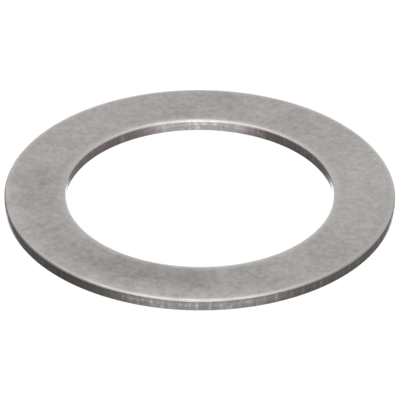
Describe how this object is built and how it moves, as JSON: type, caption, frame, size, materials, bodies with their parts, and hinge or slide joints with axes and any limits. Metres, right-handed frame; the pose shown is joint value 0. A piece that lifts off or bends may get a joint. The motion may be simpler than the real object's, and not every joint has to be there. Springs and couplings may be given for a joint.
{
  "type": "shim ring",
  "caption": "Flat steel ring that takes up axial play between a shoulder and a bearing or gear on a shaft.",
  "frame": {"origin": "centre of the bore, in the plane of the underside", "axes": "+Z along the bore axis, out of the top face, the one whose edges are rolled"},
  "size_m": [0.032, 0.032, 0.001],
  "materials": {
    "steel": "satin"
  },
  "bodies": {
    "root": {"shim_ring": "steel"}
  },
  "joints": []
}
